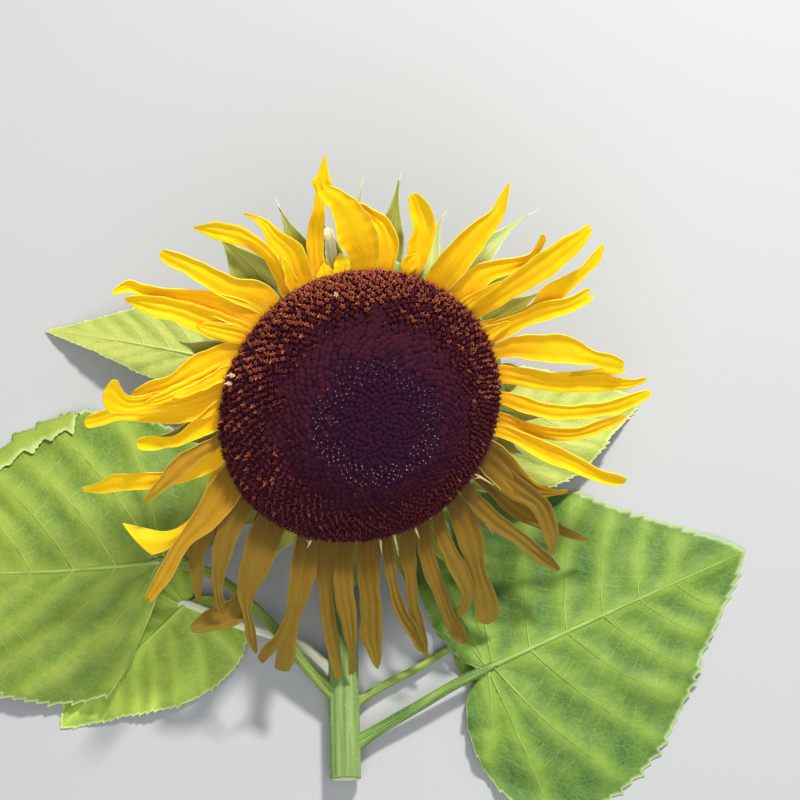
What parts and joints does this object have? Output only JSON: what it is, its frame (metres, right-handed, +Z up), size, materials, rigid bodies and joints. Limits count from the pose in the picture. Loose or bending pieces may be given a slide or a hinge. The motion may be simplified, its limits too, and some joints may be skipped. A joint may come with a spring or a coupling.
{
  "type": "cut sunflower head",
  "caption": "Cut sunflower lying face up: seed head ringed with ray petals and bracts on a nodding neck and short leafy stem with a flat cut end.",
  "frame": {"origin": "centre of the flat cut at the foot of the stem", "axes": "+X to the right of the flower seen from above with the stem towards the viewer, +Y from the cut end towards the flower, +Z up from the surface it lies on"},
  "size_m": [0.5976, 0.3878, 0.2036],
  "materials": {
    "stem_green": "matt green ribbed stem with coarse pale hairs",
    "head_green": "matt pale green, pithy",
    "bract_green": "matt olive green with a fringe of pale hairs",
    "floret_maroon": "dark maroon, spiky, with reddish brown tips",
    "bud_purple": "dark purple, tightly packed closed buds",
    "petal_yellow": "silky bright yellow with orange ribs",
    "petal_ochre": "silky ochre yellow with brown ribs",
    "leaf_green": "matt green with raised pale veins, faintly hairy"
  },
  "bodies": {
    "root": {"stem": "stem_green", "neck_lower": "stem_green", "neck_upper": "stem_green", "receptacle": "head_green", "disc_florets": "floret_maroon", "disc_buds": "bud_purple", "bracts_inner": "bract_green", "bracts_outer": "bract_green", "leaf_upper_left": "leaf_green", "leaf_lower_left": "leaf_green", "leaf_foot_left": "leaf_green", "leaf_upper_right": "leaf_green", "leaf_lower_right": "leaf_green", "leaf_foot_right": "leaf_green", "ray_01": "petal_yellow", "ray_02": "petal_yellow", "ray_03": "petal_yellow", "ray_04": "petal_yellow", "ray_05": "petal_yellow", "ray_06": "petal_yellow", "ray_07": "petal_yellow", "ray_08": "petal_yellow", "ray_09": "petal_yellow", "ray_10": "petal_yellow", "ray_11": "petal_yellow", "ray_12": "petal_yellow", "ray_13": "petal_yellow", "ray_14": "petal_ochre", "ray_15": "petal_ochre", "ray_16": "petal_ochre", "ray_17": "petal_ochre", "ray_18": "petal_ochre", "ray_19": "petal_ochre", "ray_20": "petal_ochre", "ray_21": "petal_ochre", "ray_22": "petal_ochre", "ray_23": "petal_ochre", "ray_24": "petal_ochre", "ray_25": "petal_ochre", "ray_26": "petal_ochre", "ray_27": "petal_ochre", "ray_28": "petal_ochre", "ray_29": "petal_ochre", "ray_30": "petal_ochre", "ray_31": "petal_yellow", "ray_32": "petal_yellow", "ray_33": "petal_yellow", "ray_34": "petal_yellow", "ray_35": "petal_yellow", "ray_36": "petal_yellow", "ray_37": "petal_yellow", "ray_38": "petal_yellow", "ray_39": "petal_yellow", "ray_40": "petal_yellow", "ray_41": "petal_yellow", "ray_42": "petal_yellow", "ray_43": "petal_yellow", "ray_44": "petal_yellow", "ray_45": "petal_yellow", "ray_46": "petal_yellow"}
  },
  "joints": []
}
